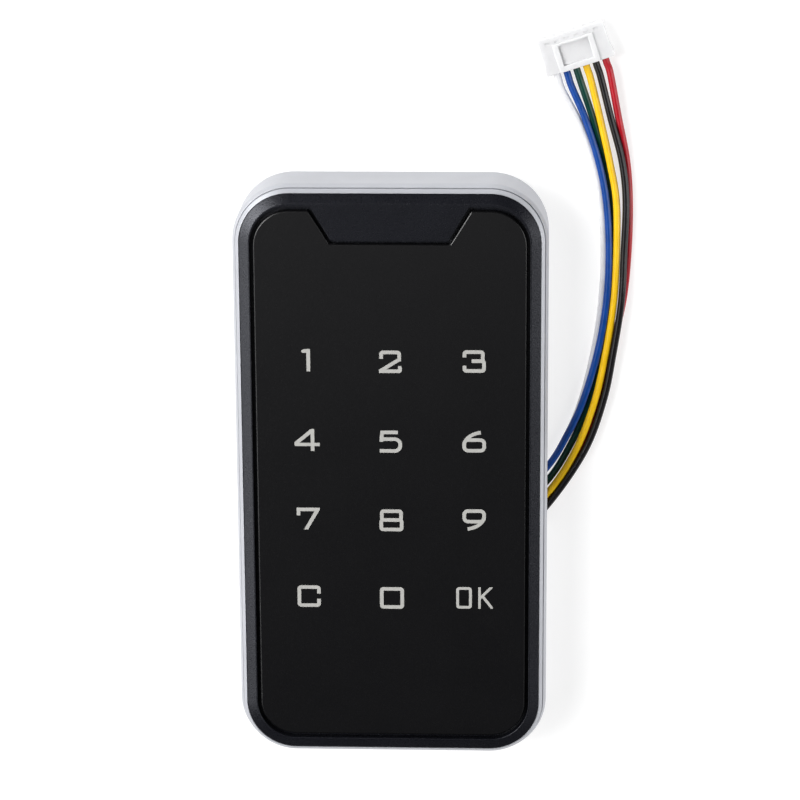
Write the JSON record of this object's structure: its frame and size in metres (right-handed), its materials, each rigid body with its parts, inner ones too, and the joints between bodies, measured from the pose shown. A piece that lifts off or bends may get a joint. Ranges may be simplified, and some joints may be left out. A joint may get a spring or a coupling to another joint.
{
  "type": "keypad access reader",
  "caption": "Flat door-access keypad: silver housing, black bezel, touch panel with printed legends, rear tamper plunger, and loose wires that end in a crimp plug.",
  "frame": {"origin": "centre of the housing's back plane; the loose wires and plug are left out of it", "axes": "+Z out of the touch panel, +Y along the length towards the bezel's tab, +X to the right when the panel is read"},
  "size_m": [0.0991, 0.1874, 0.0195],
  "materials": {
    "silver_housing": "fine metallic paint, satin",
    "black_bezel": "fine moulded grain, satin",
    "panel": "smooth with a soft sheen",
    "legend_ink": "printed, even",
    "tape": "foam tape",
    "clear_plastic": "clear diffuser sheet",
    "board": "solder mask",
    "copper": "bare copper",
    "led": "clear moulding",
    "chip_black": "moulded",
    "steel": "plated",
    "capacitor_can": "bare can",
    "solder": "solder",
    "rubber": "matt",
    "brass": "turned",
    "plunger_red": "moulded",
    "insulation_white": "extruded insulation",
    "insulation_blue": "extruded insulation",
    "insulation_green": "extruded insulation",
    "insulation_yellow": "extruded insulation",
    "insulation_black": "extruded insulation",
    "insulation_red": "extruded insulation",
    "plug_nylon": "natural nylon",
    "tin": "tinned"
  },
  "bodies": {
    "case": {"rear_case": "silver_housing", "front_frame": "silver_housing", "bezel": "black_bezel", "touch_panel": "panel", "key_legends": "legend_ink", "panel_adhesive": "tape", "light_guide": "clear_plastic", "touch_board": "board", "sensor_pads": "copper", "backlight_leds": "led", "status_leds": "led", "antenna_coil": "copper", "touch_controller": "chip_black", "touch_board_screws": "steel", "main_board": "board", "microcontroller": "chip_black", "reader_chip": "chip_black", "voltage_regulator": "chip_black", "crystal": "steel", "filter_capacitors": "capacitor_can", "chip_resistors": "chip_black", "buzzer": "chip_black", "board_link_header": "chip_black", "board_link_socket": "chip_black", "board_screws": "steel", "wire_solder_joints": "solder", "case_gasket": "rubber", "case_screws": "steel", "mounting_inserts": "brass", "tamper_switch": "chip_black", "tamper_spring": "steel", "cable_gland": "rubber", "wire_white": "insulation_white", "wire_blue": "insulation_blue", "wire_green": "insulation_green", "wire_yellow": "insulation_yellow", "wire_black": "insulation_black", "wire_red": "insulation_red", "plug_housing": "plug_nylon", "plug_terminals": "tin"},
    "plunger": {"tamper_plunger": "plunger_red"}
  },
  "joints": [
    {"name": "tamper_press", "type": "slide", "parent": "case", "child": "plunger", "axis": [0, 0, 1], "range_m": [0, 0.0015], "stiffness_N_per_m": 110, "deforming": ["tamper_spring"]}
  ]
}
